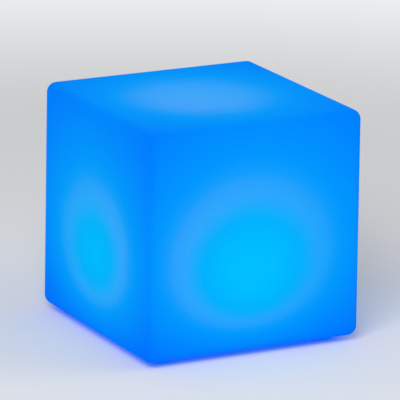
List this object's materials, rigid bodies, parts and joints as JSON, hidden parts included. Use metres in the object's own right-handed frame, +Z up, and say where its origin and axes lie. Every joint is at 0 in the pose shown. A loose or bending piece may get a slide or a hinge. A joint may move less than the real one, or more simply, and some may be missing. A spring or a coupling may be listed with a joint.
{
  "type": "led cube light",
  "caption": "Glowing translucent cube light with rounded edges on moulded feet, with a battery-powered lamp module screwed into its base.",
  "frame": {"origin": "on the floor under the centre of the cube, level with the underside of its feet", "axes": "+Z up through the top face, -Y out of the wide right-hand face in the picture, -X out of the narrow left-hand face"},
  "size_m": [0.3, 0.3, 0.3],
  "materials": {
    "glowing_polyethylene": "translucent rotomoulded polyethylene, lit blue from inside, fine satin grain",
    "black_abs": "moulded black ABS, fine spark-eroded grain",
    "black_rubber": "soft black silicone rubber",
    "brass": "turned and knurled brass",
    "stainless_steel": "cold-headed stainless steel",
    "nickel_plate": "nickel-plated, satin",
    "aluminium_plate": "rolled aluminium sheet, mill finish",
    "white_circuit_board": "white solder mask on glass-fibre laminate",
    "green_circuit_board": "green solder mask on glass-fibre laminate",
    "lamp_package": "white lamp package with a clear window",
    "black_epoxy": "moulded black epoxy",
    "frosted_polycarbonate": "frosted polycarbonate",
    "white_nylon": "natural white nylon connector",
    "cell_steel": "nickel-plated drawn steel can",
    "cell_wrap": "shrunk PVC sleeve",
    "red_lead": "PVC insulation",
    "white_lead": "PVC insulation",
    "black_phenolic": "moulded phenolic",
    "button_abs": "moulded dark grey ABS, satin"
  },
  "bodies": {
    "cube": {"cube_shell": "glowing_polyethylene", "threaded_inserts": "brass", "module_gasket": "black_rubber", "module_housing": "black_abs", "module_screws": "stainless_steel", "heat_plate": "aluminium_plate", "lamp_board": "white_circuit_board", "led_chips": "lamp_package", "ir_receiver": "black_epoxy", "light_dome": "frosted_polycarbonate", "dome_gasket": "black_rubber", "dome_screws": "stainless_steel", "plate_screws": "stainless_steel", "battery_cells": "cell_steel", "battery_wraps": "cell_wrap", "battery_tabs": "nickel_plate", "battery_strap": "black_abs", "strap_screws": "stainless_steel", "control_board": "green_circuit_board", "board_screws": "stainless_steel", "board_headers": "white_nylon", "board_chips": "black_epoxy", "battery_terminals": "white_nylon", "lamp_board_header": "white_nylon", "battery_leads": "red_lead", "lamp_leads": "white_lead", "switch_leads": "white_lead", "socket_leads": "red_lead", "switch_barrel": "nickel_plate", "return_boot": "black_rubber", "switch_base": "black_phenolic", "switch_terminals": "brass", "switch_seal": "black_rubber", "switch_nut": "nickel_plate", "charge_socket": "nickel_plate", "socket_base": "black_phenolic", "socket_pin": "brass", "socket_contact": "brass", "socket_seal": "black_rubber", "socket_nut": "nickel_plate", "flap_anchor": "black_rubber"},
    "button": {"power_button": "button_abs"},
    "flap": {"port_flap": "black_rubber"}
  },
  "joints": [
    {"name": "button_press", "type": "slide", "parent": "cube", "child": "button", "axis": [0, 0, 1], "range_m": [0, 0.0015], "stiffness_N_per_m": 900, "springref_m": -0.0012, "deforming": ["return_boot"]},
    {"name": "flap_hinge", "type": "hinge", "parent": "cube", "child": "flap", "pos_m": [0.015, -0.0245, 0.0114], "axis": [1, 0, 0], "range_deg": [0, 110]}
  ]
}
